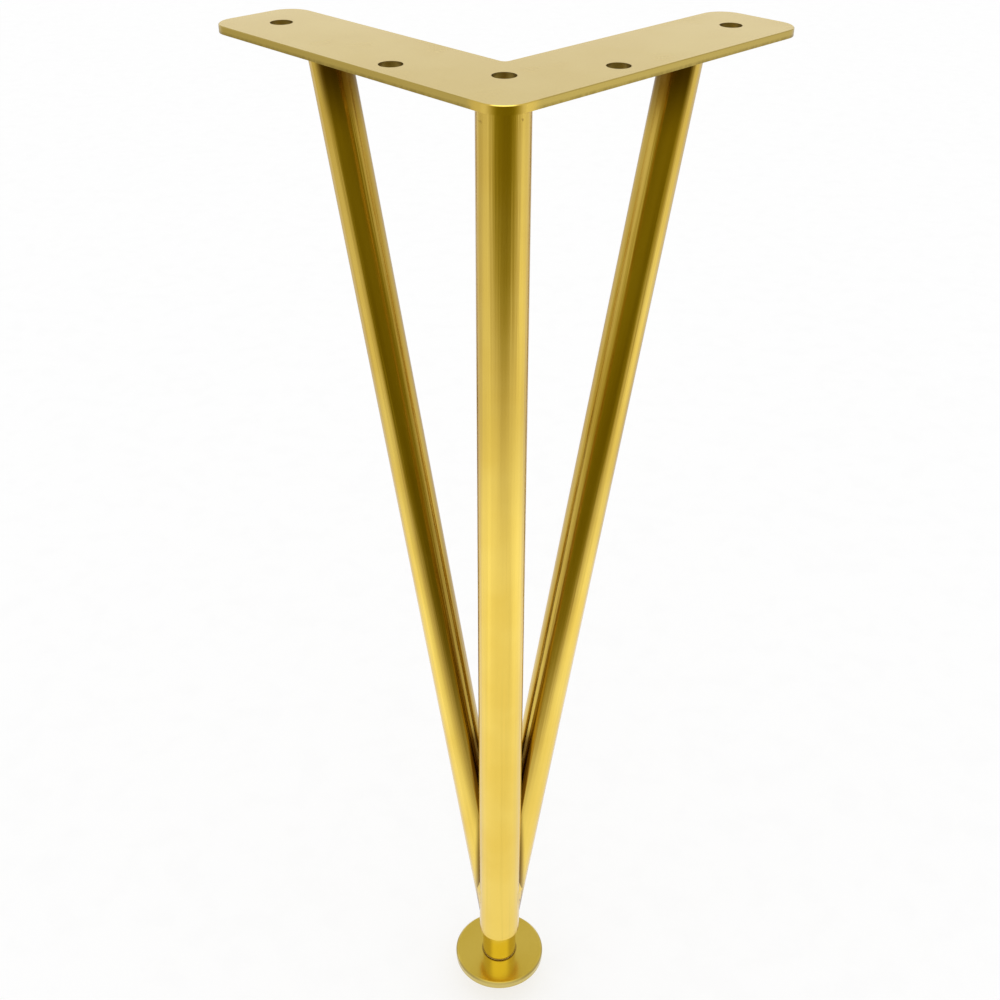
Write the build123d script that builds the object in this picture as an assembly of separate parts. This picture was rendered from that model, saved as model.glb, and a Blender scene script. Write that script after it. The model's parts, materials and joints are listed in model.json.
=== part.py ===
"""Tripod table leg: an L-shaped mounting plate, a corner tube, two slanting braces and a screw-in foot.

Millimetres, +Z up. The origin is the middle of the foot's underside, on the floor. The corner tube
stands on the Z axis, the plate's outer corner points to -Y, and the leg is mirrored about X = 0.
"""
import math
import os

from build123d import *

# Overall
leg_height = 400.0  # floor to the plate's top face, with the foot screwed right in

# Mounting plate
plate_thickness = 3.0
arm_length = 158.0  # along the outer edge, from the sharp outer corner to the arm's end
arm_width = 40.0
corner_radius = 10.0  # outer corner, over the corner tube
notch_radius = 2.0  # inner corner of the L
end_radius = 10.0  # both corners of each arm's end
plate_edge_break = 0.3  # bevel along the top of the outline

# Screw holes
hole_diameter = 8.5
corner_hole_back = 39.0  # along the line of symmetry, from the sharp outer corner
mid_hole_along = 64.0  # along the arm, from the sharp outer corner
mid_hole_across = 10.0  # in from the outer edge, clear of the brace below
end_hole_inset = 19.0  # in from the arm's end, on the arm's middle line

# Tubes
corner_tube_diameter = 18.0
corner_tube_wall = 1.5
tube_end_break = 0.5  # outer edge of the corner tube's lower end
brace_diameter = 16.0
brace_wall = 1.5
brace_along = 111.5  # brace's middle line at the plate, along the arm from the sharp outer corner
brace_meet_height = 4.0  # where the middle lines meet, above the corner tube's lower end

# Welds, ground smooth
corner_weld_leg = 2.6  # at the back of the corner tube; it fades out where the tube is flush with the plate
brace_weld_leg = 2.5
weld_bite = 0.2  # how far a weld's face runs on into the tube, past the end of its slope
seam_weld_low = 10.0  # lower end of the filled seam, above the point where the middle lines meet
seam_weld_high = 27.0  # upper end of the filled seam, above the same point
seam_weld_fade = 6.0  # length over which the filling runs out at its upper end
seam_weld_sink = 0.02  # how far the ground face lies under the line that touches both tubes
seam_weld_bottom = 0.9  # the same at the upper end, under the bottom of the groove

# Screw-in foot
disc_diameter = 40.0
disc_thickness = 4.0
disc_edge_break = 0.8
hub_diameter = 15.0
hub_length = 15.0
hub_edge_break = 0.6
hub_relief = 0.6  # turned groove where the hub meets the disc
stud_diameter = 10.0
stud_in_hub = 10.0  # pressed into the hub
stud_reach = 24.0  # above the hub
stud_chamfer = 1.0
stud_clearance = 0.05  # all round, in the insert's thread
insert_length = 20.0
insert_chamfer = 0.8  # mouth of the insert's thread

# Worked out from the sizes above
plate_underside = leg_height - plate_thickness
tube_end_height = disc_thickness + hub_length
corner_tube_radius = corner_tube_diameter / 2
corner_tube_bore = corner_tube_diameter - 2 * corner_tube_wall
brace_radius = brace_diameter / 2
diagonal = math.sqrt(0.5)
corner_setback = corner_radius * (math.sqrt(2) - 1) + corner_tube_radius  # tube flush with the rounded corner
plate_placing = Location((0, -corner_setback, 0), (0, 0, 45))  # arms' own axes to the leg's frame
meet_point = Vector(0, 0, tube_end_height + brace_meet_height)
brace_top = plate_placing * Location((brace_along, arm_width / 2, plate_underside))
brace_line = brace_top.position - meet_point
brace_plan = Vector(brace_line.X, brace_line.Y, 0).normalized()
brace_outward = Vector(brace_plan.Y, -brace_plan.X, 0)  # level, away from the other brace
brace_lean = math.hypot(brace_line.X, brace_line.Y) / brace_line.Z  # sideways for each millimetre of height
brace_stretch = brace_line.length / brace_line.Z  # length of a level cut through the brace, for each width


def plate_outline():
    """The L seen from above, in the arms' own axes: the sharp outer corner at zero, arms along +X and +Y."""
    corners = [(0, 0), (arm_length, 0), (arm_length, arm_width), (arm_width, arm_width),
               (arm_width, arm_length), (0, arm_length)]
    radii = [corner_radius, end_radius, end_radius, notch_radius, end_radius, end_radius]
    outline = make_face(Polyline(*corners, close=True))
    for corner, radius in zip(corners, radii):
        vertex = outline.vertices().sort_by_distance((*corner, 0))[0]
        outline = fillet(vertex, radius)
    return outline


def hole_places():
    """Middles of the five screw holes, in the arms' own axes."""
    corner = corner_hole_back * diagonal
    end = arm_length - end_hole_inset
    right_arm = [(mid_hole_along, mid_hole_across), (end, arm_width / 2)]
    left_arm = [(across, along) for along, across in right_arm]
    return [(corner, corner)] + right_arm + left_arm


def mounting_plate():
    """Flat L with a bevelled top rim and five plain holes."""
    plate = extrude(Pos(0, 0, plate_underside) * plate_outline(), plate_thickness)
    plate = chamfer(plate.faces().sort_by(Axis.Z)[-1].edges(), plate_edge_break)
    for place in hole_places():
        plate -= Pos(*place, plate_underside) * extrude(Circle(hole_diameter / 2), plate_thickness)
    return plate_placing * plate


def corner_tube():
    """Upright tube under the plate's outer corner, open at its lower end."""
    length = plate_underside - tube_end_height
    tube = Pos(0, 0, tube_end_height) * extrude(Circle(corner_tube_radius), length)
    tube = chamfer(tube.faces().sort_by(Axis.Z)[0].edges(), tube_end_break)
    return tube - Pos(0, 0, tube_end_height) * extrude(Circle(corner_tube_bore / 2), length)


def corner_tube_core():
    """The corner tube as a full bar, longer than the tube, to cut what is fitted against it."""
    return Cylinder(corner_tube_radius, 2 * leg_height)


def brace_core():
    """The right brace as a full bar on its middle line, past the plate's underside."""
    start = Plane(origin=meet_point, x_dir=brace_outward, z_dir=brace_line)
    return extrude(start * Circle(brace_radius), brace_line.length + brace_diameter), start


def below_plate():
    """The space under the plate on the right of the mirror plane, where the right brace may be."""
    return Pos(0, 0, plate_underside) * Box(2 * arm_length, 4 * arm_length, leg_height,
                                            align=(Align.MIN, Align.CENTER, Align.MAX))


def right_brace():
    """Slanting tube: cut flat at the plate, coped round the corner tube and mitred against its twin."""
    bar, start = brace_core()
    bore = extrude(start * Circle(brace_radius - brace_wall), brace_line.length + brace_diameter)
    return ((bar - bore) & below_plate()) - corner_tube_core()


def corner_weld():
    """Weld behind the corner tube: a cone set a little back, so that it narrows to nothing at the front."""
    reach = corner_tube_radius + (corner_weld_leg - weld_bite) / 2
    setting = (corner_weld_leg + weld_bite) / 2
    drop = corner_weld_leg + weld_bite
    cone = Cone(reach - drop, reach, drop, align=(Align.CENTER, Align.CENTER, Align.MAX))
    return Pos(0, setting, plate_underside) * cone - corner_tube_core()


def brace_cut(drop, growth):
    """Level cut through the right brace this far under the plate, grown on all sides."""
    level = brace_top.position - brace_line * (drop / brace_line.Z)
    plane = Plane(origin=level, x_dir=brace_plan, z_dir=(0, 0, 1))
    return plane * Ellipse(brace_radius * brace_stretch + growth, brace_radius + growth)


def right_brace_weld():
    """Weld all round the brace's slanting top, narrowing down to the brace."""
    bar, _ = brace_core()
    bead = loft([brace_cut(0, brace_weld_leg), brace_cut(brace_weld_leg + weld_bite, -weld_bite)], ruled=True)
    return bead - bar


def seam_section(rise, sink):
    """Triangle filled by the right seam weld at this height above the meeting point."""
    shift = brace_lean * rise
    slope = (corner_tube_radius - brace_radius) / shift
    normal = brace_plan * slope + brace_outward * math.sqrt(1 - slope ** 2)
    level = meet_point + Vector(0, 0, rise)
    on_tube = level + normal * (corner_tube_radius - sink)
    on_brace = level + brace_plan * shift + normal * (brace_radius - sink)
    return make_face(Polyline(on_tube, on_brace, level + brace_plan * shift / 2, close=True))


def right_seam_weld():
    """Ground filling of the outer groove between corner tube and brace, running out at its upper end."""
    bar, _ = brace_core()
    full = seam_weld_high - seam_weld_fade
    steps = [(seam_weld_low, seam_weld_sink), ((seam_weld_low + full) / 2, seam_weld_sink),
             (full, seam_weld_sink), (seam_weld_high, seam_weld_bottom)]
    bead = loft([seam_section(rise, sink) for rise, sink in steps], ruled=True)
    return bead - corner_tube_core() - bar


def threaded_insert():
    """Plug pressed into the corner tube's lower end, with the bore that takes the foot's stud."""
    bore = stud_diameter / 2 + stud_clearance
    plug = extrude(Circle(corner_tube_bore / 2) - Circle(bore), insert_length)
    mouth = plug.faces().sort_by(Axis.Z)[0].edges().sort_by(SortBy.RADIUS)[0]
    return Pos(0, 0, tube_end_height) * chamfer(mouth, insert_chamfer)


def levelling_foot():
    """Turned disc and hub, with a blind hole for the stud."""
    disc = extrude(Circle(disc_diameter / 2), disc_thickness)
    disc = chamfer(disc.edges().filter_by(GeomType.CIRCLE), disc_edge_break)
    hub = Pos(0, 0, disc_thickness) * extrude(Circle(hub_diameter / 2), hub_length)
    hub = chamfer(hub.faces().sort_by(Axis.Z)[-1].edges(), hub_edge_break)
    groove = Pos(0, 0, disc_thickness) * extrude(
        Circle(hub_diameter / 2) - Circle(hub_diameter / 2 - hub_relief), hub_relief)
    hole = Pos(0, 0, tube_end_height) * extrude(Circle(stud_diameter / 2), -stud_in_hub)
    return disc + hub - groove - hole


def foot_stud():
    """Screw stud pressed into the hub; its thread is cut into this diameter."""
    stud = extrude(Circle(stud_diameter / 2), stud_in_hub + stud_reach)
    stud = chamfer(stud.faces().sort_by(Axis.Z)[-1].edges(), stud_chamfer)
    return Pos(0, 0, tube_end_height - stud_in_hub) * stud


def leg_pieces():
    """Every piece of the leg by name, with the left-hand ones mirrored from the right."""
    pieces = {"mounting_plate": mounting_plate(), "corner_tube": corner_tube(), "corner_weld": corner_weld(),
              "threaded_insert": threaded_insert(), "levelling_foot": levelling_foot(), "foot_stud": foot_stud()}
    for name, piece in (("brace", right_brace()), ("brace_weld", right_brace_weld()),
                        ("seam_weld", right_seam_weld())):
        pieces["right_" + name] = piece
        pieces["left_" + name] = mirror(piece, Plane.YZ)
    return pieces


os.makedirs("parts", exist_ok=True)
for node, piece in leg_pieces().items():
    export_step(piece, os.path.join("parts", node + ".step"))
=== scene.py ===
"""Tripod table leg: gold finishes, the foot's screw thread and the studio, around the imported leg.

Metres, in the leg's own frame: +Z up along the corner tube, the plate's outer corner towards -Y, and the
resting foot's underside at zero.
"""
import json
import math

import bpy
from bpy.props import FloatProperty, FloatVectorProperty, IntProperty, PointerProperty
from mathutils import Euler, Matrix, Vector


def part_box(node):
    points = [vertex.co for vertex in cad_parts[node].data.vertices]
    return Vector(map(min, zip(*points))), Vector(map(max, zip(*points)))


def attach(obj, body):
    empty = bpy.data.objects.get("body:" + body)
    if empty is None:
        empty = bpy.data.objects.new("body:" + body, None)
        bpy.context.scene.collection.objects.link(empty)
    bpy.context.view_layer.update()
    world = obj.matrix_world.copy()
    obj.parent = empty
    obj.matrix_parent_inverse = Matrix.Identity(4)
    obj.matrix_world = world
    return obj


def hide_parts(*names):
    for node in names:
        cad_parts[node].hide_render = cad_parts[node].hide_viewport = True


bl_info = {
    "name": "Tripod Table Leg",
    "version": (1, 0, 0),
    "blender": (4, 5, 0),
    "location": "View3D > Sidebar > Table Leg",
    "description": "Finishes a welded tripod table leg in gold plating and sets up its studio",
    "category": "Object",
}

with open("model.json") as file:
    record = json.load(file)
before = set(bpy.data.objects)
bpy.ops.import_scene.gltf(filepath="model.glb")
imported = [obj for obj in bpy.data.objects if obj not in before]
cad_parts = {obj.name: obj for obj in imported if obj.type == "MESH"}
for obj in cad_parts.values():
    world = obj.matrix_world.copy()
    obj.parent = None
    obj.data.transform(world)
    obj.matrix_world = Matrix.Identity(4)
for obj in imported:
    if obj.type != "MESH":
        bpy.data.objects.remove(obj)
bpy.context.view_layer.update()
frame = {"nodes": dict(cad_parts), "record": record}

TUBES = ("corner_tube", "left_brace", "right_brace")
WELDS = ("corner_weld", "left_brace_weld", "right_brace_weld", "left_seam_weld", "right_seam_weld")

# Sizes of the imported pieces
plate_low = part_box("mounting_plate")[0]
foot_low, foot_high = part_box("levelling_foot")
foot_radius = (foot_high.x - foot_low.x) / 2
stud_low, stud_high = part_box("foot_stud")
stud_radius = (stud_high.x - stud_low.x) / 2
tube_low, tube_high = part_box("corner_tube")
tube_radius = (tube_high.x - tube_low.x) / 2

# Hub of the foot and top of the groove under it
HUB_RADIUS = 0.0075
GROOVE_TOP = foot_low.z + 0.0046

# Marks of handling, and the shares of grain, smudges and scratches in the roughness
SMUDGE_SIZE = 0.03
SCRATCH_LENGTH = 0.012
SCRATCH_SLIMNESS = 22.0
SCRATCH_TURNS = ((0.2, 0.1, 0.5), (0.9, -0.3, 2.1))
GRAIN_SHARE = 0.05
SMUDGE_SHARE = 0.05
SCRATCH_SHARE = 0.08
WELD_GRAIN_SHARE = 0.08
WELD_SMUDGE_SHARE = 0.06
ZINC_GRAIN_SHARE = 0.08

# Depths of the relief in each finish
SATIN_DEPTH = 4.0e-6
RING_DEPTH = 6.0e-6
WELD_DEPTH = 1.0e-4
ZINC_DEPTH = 4.0e-6
SCRATCH_DEPTH = 2.0e-6
PLATE_SCRATCH_DEPTH = 3.0e-6
WELD_SCRATCH_DEPTH = 4.0e-6

# Fineness of each pattern, in patches for each metre
WELD_WAVES = 420.0
WELD_PITS = 700.0
TUBE_NICKS = 380.0
EDGE_STREAKS = 700.0
ZINC_SPECKS = 1800.0
PAPER_FLECKS = 60.0

# Streaks in a tube's tone: how much wider and longer than those in its polish, and how deep their tone is
TONE_STREAK_WIDTH = 2.5
TONE_STREAK_LENGTH = 2.0
TONE_STREAK_SHARE = 0.22

# Painted shade by how squarely a side faces the other tubes: the corner tube's back and a brace's inner side
BACK_FACING = (0.0, 0.7)
INNER_FACING = (-0.1, 0.6)

# A brace's inner side: its share of that painted shade, and how the share falls with the gap to the corner
# tube
INNER_SHARE = {"left_brace": 1.0, "right_brace": 0.25}
INNER_GAPS = (0.02, 0.05)
INNER_FAR_SHARE = 0.45

# Brown painted shade on a brace: width in the gap to the corner tube, extra reach where it faces the tube
# squarely, and how far it runs down from the plate on the side that faces the tube
CREVICE_SHARE = 0.95
CREVICE_WIDTH = 0.0026
CREVICE_REACH = 0.009
REACH_FACING = (0.5, 0.95)
CORNER_DROPS = (0.005, 0.032)
CORNER_FACING = (0.0, 0.45)

# Nicks at the top of the corner tube: drops from its end, and shares of its radius to each side
NICK_DROPS = (0.004, 0.002)
NICK_SIDES = (0.5, 0.7)

# Plate: how level a face is to count as flat, heights over which the sheared band ends, how the edge's
# streaks are drawn out, and the distance from the corner tube's axis, in tube radii, where the edge stops
# being plain
FLAT_FACING = (0.8, 0.95)
SHEARED_HEIGHTS = (4.0e-4, 1.5e-3)
EDGE_STREAK_STRETCH = 0.12
EDGE_PLAIN = (1.04, 1.35)

# Foot: widths of the painted shade on the rim and of the brown painted shade beside the groove, and metal
# that shows through its lacquer
RIM_WIDTHS = (8.0e-4, 3.0e-4)
BROWN_WIDTHS = (2.0e-4, 8.0e-4)
LACQUER_METAL = 0.1

# Thread: where its slope leaves the crest and meets the root, a nudge against rounding at whole turns, and
# the distance within which its seam and ends are merged
THREAD_SLOPE = (0.9, 0.25)
TURN_NUDGE = 1.0e-4
MERGE_DISTANCE = 2.0e-6

# Room between the floor and the foot when it is screwed right out
FLOOR_GAP = 1.0e-4

# Soft edge of a mask that ends at a sharp edge of the metal
MASK_EDGE = 5.0e-5

# Directions of the reflected light, in degrees round the leg: turn of the dim front, its end and the start of
# the side on the plane and on the dome, and the change from side to back
FRONT_TURN = -6.0
PLANE_FRONT = (24.0, 82.0)
DOME_FRONT = (44.0, 80.0)
SIDE_TO_BACK = (92.0, 128.0)

# Beside its middle the dim front starts farther off: directions and share of the distance
FRONT_MIDDLE = (6.0, 32.0)
FRONT_NARROWING = 0.87

# Dim light is warm, as from a room around the studio: power of its red, strength of its blue and the levels
# over which the blue comes in
RED_POWER = 0.9
BLUE_STRENGTH = 1.1
BLUE_LEVELS = (0.08, 0.75)

# Brightness that reflections see on the light plane: distance from the leg's axis in metres and level
FRONT_PLANE = ((0.5, 1.07), (0.7, 0.8), (0.95, 0.44), (1.15, 0.25), (1.4, 0.18), (2.5, 0.13))
SIDE_PLANE = ((0.15, 1.04), (0.45, 1.27), (0.6, 1.25), (0.75, 0.97), (1.1, 0.93), (1.75, 0.75), (4.5, 0.48))
BACK_PLANE = ((0.2, 0.95), (0.4, 1.0), (0.75, 0.7), (4.5, 0.62))

# Share of it far off, by degrees from the dim front to the left and to the right: the distances over which
# it comes in, and the strip across the leg over which left turns to right
FAR_OFF = (0.7, 1.1)
LEFT_TO_RIGHT = (-0.1, 0.1)
LEFT_SHARE = ((60, 1.0), (80, 1.06), (110, 0.84), (122, 0.86), (130, 1.12), (142, 0.95))
RIGHT_SHARE = ((60, 0.95), (86, 1.22), (125, 1.13), (142, 0.95))

# Brightness that reflections see on the dome: elevation in degrees and level
FRONT_DOME = ((-8, 0.13), (4, 0.19), (9, 0.16), (13, 0.1), (20, 0.3), (40, 1.1), (60, 1.3), (66, 1.8))
SIDE_DOME = ((-8, 0.5), (10, 0.72), (20, 0.65), (60, 0.7), (66, 1.8))
BACK_DOME = ((-8, 0.57), (4, 0.65), (10, 1.15), (15, 0.7), (50, 0.6), (60, 0.7), (66, 1.8))


class LegGold(bpy.types.PropertyGroup):
    """Colours and polish of the gold plating, and the colours of its painted shade."""

    gold: FloatVectorProperty(
        name="Gold", description="Plating seen straight on", subtype="COLOR", min=0, max=1,
        default=(0.83, 0.60, 0.11))
    deep_gold: FloatVectorProperty(
        name="Deep Gold", description="Plating where it is a little thicker", subtype="COLOR", min=0, max=1,
        default=(0.79, 0.55, 0.085))
    # Painted shade where the tubes face each other; the same colour gives the deeper tone of the tubes'
    # streaks
    shade_and_streak_gold: FloatVectorProperty(
        name="Inner Gold", description="Thinner plating where the tubes face each other, and in streaks",
        subtype="COLOR", min=0, max=1, default=(0.49, 0.335, 0.052))
    # Painted shade, brown, in a brace's corners with tube and plate
    crevice_shade_gold: FloatVectorProperty(
        name="Crevice Gold", description="Brown plating in a brace's corners with tube and plate",
        subtype="COLOR", min=0, max=1, default=(0.17, 0.09, 0.013))
    plate_gold: FloatVectorProperty(
        name="Plate Gold", description="Paler plating on the satin plate", subtype="COLOR", min=0, max=1,
        default=(0.825, 0.65, 0.165))
    plate_deep_gold: FloatVectorProperty(
        name="Deep Plate Gold", description="Plate where its plating is a little thicker", subtype="COLOR",
        min=0, max=1, default=(0.80, 0.62, 0.145))
    edge_gold: FloatVectorProperty(
        name="Edge Gold", description="Cut edge of the plate", subtype="COLOR", min=0, max=1,
        default=(0.61, 0.465, 0.105))
    sheared_gold: FloatVectorProperty(
        name="Sheared Gold", description="Duller band along the lower part of the cut edge", subtype="COLOR",
        min=0, max=1, default=(0.38, 0.285, 0.058))
    # Painted shade on the walls of the screw holes
    bore_shade_gold: FloatVectorProperty(
        name="Bore Gold", description="Thin plating on the walls of the drilled holes", subtype="COLOR",
        min=0, max=1, default=(0.36, 0.26, 0.06))
    foot_gold: FloatVectorProperty(
        name="Foot Gold", description="Greener plating on the turned foot", subtype="COLOR", min=0, max=1,
        default=(0.79, 0.595, 0.095))
    foot_deep_gold: FloatVectorProperty(
        name="Deep Foot Gold", description="Foot where its plating is a little thicker", subtype="COLOR",
        min=0, max=1, default=(0.75, 0.555, 0.075))
    # Painted shade on the foot's rim
    rim_shade_gold: FloatVectorProperty(
        name="Rim Gold", description="Duller plating on the foot's rim", subtype="COLOR", min=0, max=1,
        default=(0.56, 0.44, 0.12))
    hub_gold: FloatVectorProperty(
        name="Hub Gold", description="Paler plating on the foot's hub", subtype="COLOR", min=0, max=1,
        default=(0.79, 0.66, 0.15))
    groove_gold: FloatVectorProperty(
        name="Groove Gold", description="Lacquer in the groove under the foot's hub", subtype="COLOR",
        min=0, max=1, default=(0.62, 0.45, 0.11))
    # Painted shade, brown, on both sides of the groove under the foot's hub
    groove_side_shade_gold: FloatVectorProperty(
        name="Corner Gold", description="Brown plating on both sides of that groove", subtype="COLOR", min=0,
        max=1, default=(0.42, 0.285, 0.045))
    weld_pit: FloatVectorProperty(
        name="Weld Pit", description="Brown in the pits of the welds", subtype="COLOR", min=0, max=1,
        default=(0.32, 0.19, 0.03))
    patch_size: FloatProperty(
        name="Patch Size", description="Width of the soft patches in the plating's tone", unit="LENGTH",
        default=0.035)
    plate_roughness: FloatProperty(
        name="Plate Roughness", description="Satin of the mounting plate", subtype="FACTOR", min=0, max=1,
        default=0.24)
    bore_roughness: FloatProperty(
        name="Bore Roughness", description="Walls of the drilled holes", subtype="FACTOR", min=0, max=1,
        default=0.42)
    tube_roughness: FloatProperty(
        name="Tube Roughness", description="Polish of the tubes", subtype="FACTOR", min=0, max=1,
        default=0.16)
    weld_roughness: FloatProperty(
        name="Weld Roughness", description="Polish of the ground welds", subtype="FACTOR", min=0, max=1,
        default=0.24)
    foot_roughness: FloatProperty(
        name="Foot Roughness", description="Polish of the turned foot", subtype="FACTOR", min=0, max=1,
        default=0.16)
    streak_width: FloatProperty(
        name="Streak Width", description="Width of the drawing streaks along the tubes", unit="LENGTH",
        default=0.0016)
    streak_length: FloatProperty(
        name="Streak Length", description="Length of the drawing streaks along the tubes", unit="LENGTH",
        default=0.14)
    streak_depth: FloatProperty(
        name="Streak Depth", description="Depth of the drawing streaks along the tubes", unit="LENGTH",
        default=1.7e-4)
    satin_grain: FloatProperty(
        name="Satin Grain", description="Size of the plate's satin grain", unit="LENGTH", default=0.0004)
    ring_spacing: FloatProperty(
        name="Ring Spacing", description="Distance between the turning marks on the foot", unit="LENGTH",
        default=0.00035)


class LegThread(bpy.types.PropertyGroup):
    """Screw thread of the levelling foot's stud."""

    steel: FloatVectorProperty(
        name="Steel", description="Bright zinc on the stud and the insert", subtype="COLOR", min=0, max=1,
        default=(0.56, 0.57, 0.56))
    steel_dull: FloatVectorProperty(
        name="Dull Steel", description="Duller zinc in the thread's roots", subtype="COLOR", min=0, max=1,
        default=(0.36, 0.36, 0.35))
    steel_roughness: FloatProperty(
        name="Steel Roughness", description="Polish of the zinc", subtype="FACTOR", min=0, max=1,
        default=0.32)
    pitch: FloatProperty(
        name="Pitch", description="Rise of the thread in one turn", unit="LENGTH", default=0.0015)
    depth: FloatProperty(
        name="Depth", description="Depth of the thread", unit="LENGTH", default=0.0009)
    plain_length: FloatProperty(
        name="Plain Length", description="Unthreaded length in the hub", unit="LENGTH", default=0.0105)
    run_out: FloatProperty(
        name="Run-out", description="Length over which the thread begins", unit="LENGTH", default=0.0015)
    sides: IntProperty(
        name="Sides", description="Facets round the stud", default=64, min=12)
    rows_per_turn: IntProperty(
        name="Rows Per Turn", description="Rows of facets in one turn of the thread", default=6, min=4)


class LegStage(bpy.types.PropertyGroup):
    """Camera, floor and light."""

    lens: FloatProperty(
        name="Lens", description="Focal length on a 36 mm sensor", unit="CAMERA", default=46.741)
    camera_place: FloatVectorProperty(
        name="Camera Place", description="Where the camera stands", subtype="TRANSLATION", unit="LENGTH",
        default=(0.002804, -0.401140, 0.511366))
    camera_pitch: FloatProperty(
        name="Camera Pitch", description="How far the camera looks down", subtype="ANGLE", default=0.54315)
    camera_yaw: FloatProperty(
        name="Camera Yaw", description="How far the camera looks to the right", subtype="ANGLE",
        default=-0.00861)
    camera_roll: FloatProperty(
        name="Camera Roll", description="How far the camera is tilted to the left", subtype="ANGLE",
        default=0.00438)
    camera_shift: FloatProperty(
        name="Camera Shift", description="How far up the picture is cut out, as a share of its side",
        default=-0.04)
    light_plane_drop: FloatProperty(
        name="Light Plane Drop", description="How far under the resting foot the reflected light lies",
        unit="LENGTH", default=0.15)
    light_plane_size: FloatProperty(
        name="Light Plane Size", description="Side of the reflected light", unit="LENGTH", default=16.0)
    floor_glow: FloatProperty(
        name="Floor Glow", description="Share of plain white in the floor as the camera sees it",
        subtype="FACTOR", min=0, max=1, default=0.65)
    floor_size: FloatProperty(
        name="Floor Size", description="Side of the floor", unit="LENGTH", default=14.0)
    floor_tone: FloatVectorProperty(
        name="Floor Tone", description="Pale paper on the floor", subtype="COLOR", min=0, max=1,
        default=(0.995, 0.995, 0.995))
    floor_fleck: FloatVectorProperty(
        name="Floor Fleck", description="Faint tone of the paper's flecks", subtype="COLOR", min=0, max=1,
        default=(0.985, 0.985, 0.985))


def opaque(color):
    """A colour as colour sockets take it, fully opaque."""
    return (*color, 1.0)


def set_material(node_name, material):
    """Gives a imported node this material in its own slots."""
    slots = frame["nodes"][node_name].material_slots
    if not slots:
        raise RuntimeError(node_name + " has no material slot")
    for slot in slots:
        slot.material = material


class NodeSheet:
    """Places and links the nodes of one tree."""

    def __init__(self, tree):
        self.tree = tree

    def feed(self, socket, value):
        """Links a socket to the socket given, or sets it to the value given."""
        if isinstance(value, bpy.types.NodeSocket):
            self.tree.links.new(value, socket)
        else:
            socket.default_value = value

    def add(self, kind, inputs=(), **settings):
        """A node of this kind, with its settings and then its inputs."""
        node = self.tree.nodes.new(kind)
        for name, value in settings.items():
            setattr(node, name, value)
        for socket, value in dict(inputs).items():
            self.feed(node.inputs[socket], value)
        return node

    def math(self, operation, *values):
        """Result of a Math node, which shader trees and Geometry Nodes trees share."""
        node = self.add("ShaderNodeMath", operation=operation)
        for socket, value in zip(node.inputs, values):
            self.feed(socket, value)
        return node.outputs[0]

    def vector_math(self, operation, *values):
        """Vector result of a Vector Math node."""
        node = self.add("ShaderNodeVectorMath", operation=operation)
        for socket, value in zip(node.inputs, values):
            self.feed(socket, value)
        return node.outputs["Vector"]

    def part(self, vector, axis):
        """One coordinate of a vector."""
        return self.add("ShaderNodeSeparateXYZ", inputs={0: vector}).outputs[axis]

    def flat(self, vector):
        """A vector laid level."""
        return self.vector_math("MULTIPLY", vector, (1.0, 1.0, 0.0))

    def distance(self, vector):
        """Distance of a place from the Z axis."""
        node = self.add("ShaderNodeVectorMath", operation="LENGTH", inputs={0: self.flat(vector)})
        return node.outputs["Value"]

    def ramp(self, value, from_min, from_max, to_min=0.0, to_max=1.0, smooth=True):
        """Value carried from one range to another and held at its ends."""
        node = self.add("ShaderNodeMapRange", clamp=True, inputs={
            "Value": value, "From Min": from_min, "From Max": from_max, "To Min": to_min, "To Max": to_max})
        if smooth:
            node.interpolation_type = "SMOOTHSTEP"
        return node.outputs["Result"]

    def level(self, value, stops):
        """Level read off a list of stops, each with its place and its level."""
        first, last = stops[0][0], stops[-1][0]
        node = self.add("ShaderNodeValToRGB", inputs={"Fac": self.ramp(value, first, last, smooth=False)})
        elements = node.color_ramp.elements
        while len(elements) < len(stops):
            elements.new(0.5)
        for element, (place, level) in zip(elements, stops):
            element.position = (place - first) / (last - first)
            element.color = (level, level, level, 1.0)
        return node.outputs["Color"]

    def blend(self, factor, first, second):
        """Value between two values."""
        node = self.add("ShaderNodeMix", data_type="FLOAT", clamp_factor=True)
        self.feed(node.inputs["Factor"], factor)
        self.feed(node.inputs[2], first)
        self.feed(node.inputs[3], second)
        return node.outputs[0]

    def mix_color(self, factor, first, second):
        """Colour between two colours."""
        node = self.add("ShaderNodeMix", data_type="RGBA", clamp_factor=True)
        self.feed(node.inputs["Factor"], factor)
        self.feed(node.inputs[6], first)
        self.feed(node.inputs[7], second)
        return node.outputs[2]

    def noise(self, vector, scale, detail=2.0, roughness=0.5):
        """Noise value at this scale, from 0 to 1."""
        node = self.add("ShaderNodeTexNoise", inputs={
            "Vector": vector, "Scale": scale, "Detail": detail, "Roughness": roughness})
        return node.outputs["Fac"]


def shader_group(name, inputs, outputs):
    """An empty shader group with named sockets: its sheet, its inputs and its outputs."""
    tree = bpy.data.node_groups.new(name, "ShaderNodeTree")
    for socket, kind in inputs:
        tree.interface.new_socket(socket, in_out="INPUT", socket_type=kind)
    for socket, kind in outputs:
        tree.interface.new_socket(socket, in_out="OUTPUT", socket_type=kind)
    sheet = NodeSheet(tree)
    return sheet, sheet.add("NodeGroupInput").outputs, sheet.add("NodeGroupOutput").inputs


def group_once(name, build):
    """The shader group of this name, built the first time that it is asked for."""
    return bpy.data.node_groups.get(name) or build(name)


def plating_tone_group(name):
    """Gold that drifts softly between two tones, as plating does."""
    sheet, given, result = shader_group(
        name,
        [("Vector", "NodeSocketVector"), ("Gold", "NodeSocketColor"), ("Deep Gold", "NodeSocketColor"),
         ("Patch Size", "NodeSocketFloat")],
        [("Color", "NodeSocketColor")])
    patches = sheet.noise(given["Vector"], sheet.math("DIVIDE", 1.0, given["Patch Size"]), detail=3.0)
    share = sheet.ramp(patches, 0.36, 0.66)
    sheet.feed(result["Color"], sheet.mix_color(share, given["Gold"], given["Deep Gold"]))
    return sheet.tree


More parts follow.
